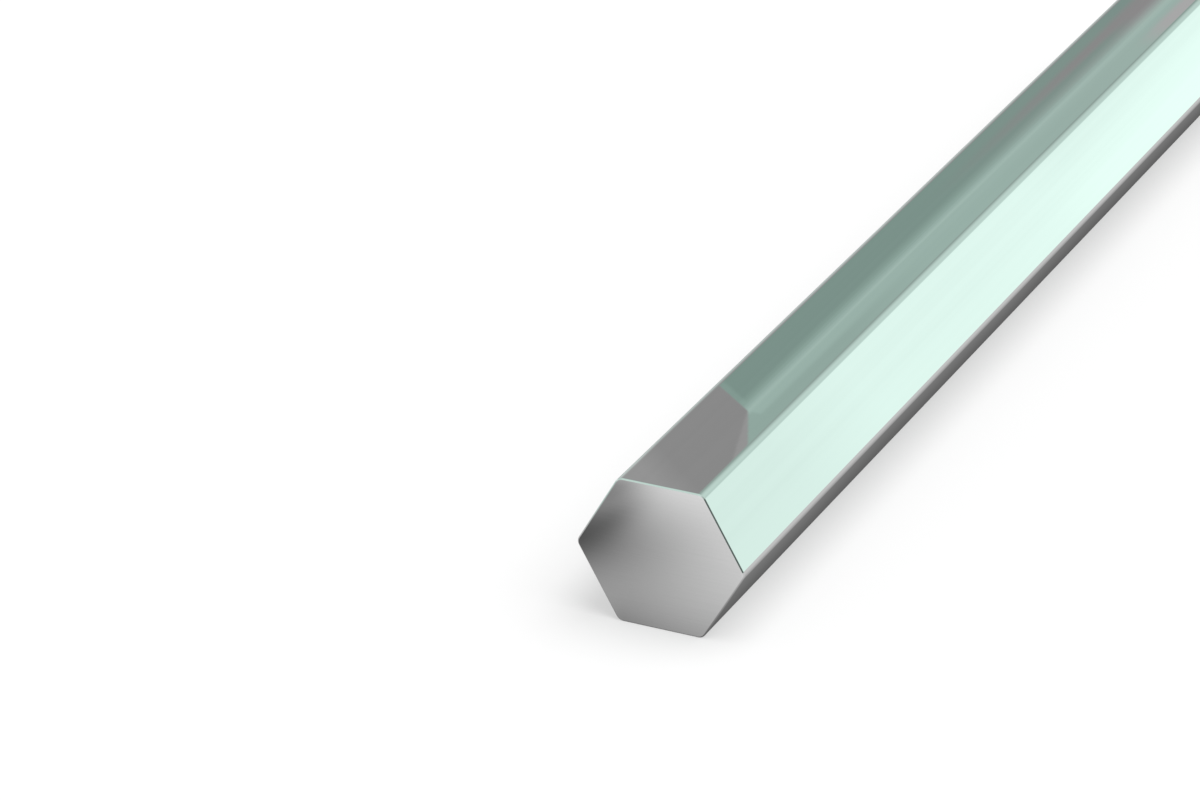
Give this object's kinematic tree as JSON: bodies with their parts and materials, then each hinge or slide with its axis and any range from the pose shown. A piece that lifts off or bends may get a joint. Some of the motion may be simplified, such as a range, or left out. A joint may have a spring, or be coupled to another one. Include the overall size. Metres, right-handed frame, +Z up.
{
  "type": "hexagonal steel bar",
  "caption": "Solid hexagonal bright steel bar stock: parallel flats, slightly rounded long corners, and square-cut ends with a fine broken edge.",
  "frame": {"origin": "middle of the flat that the bar lies on, half way along its length, at floor level", "axes": "+Y along the bar, away from the end that the picture shows; +Z up, square to the flat that it lies on; +X to the right, corner to corner across the section"},
  "size_m": [0.0568, 0.5, 0.05],
  "materials": {
    "bright_steel": "polished"
  },
  "bodies": {
    "root": {"hex_bar": "bright_steel"}
  },
  "joints": []
}
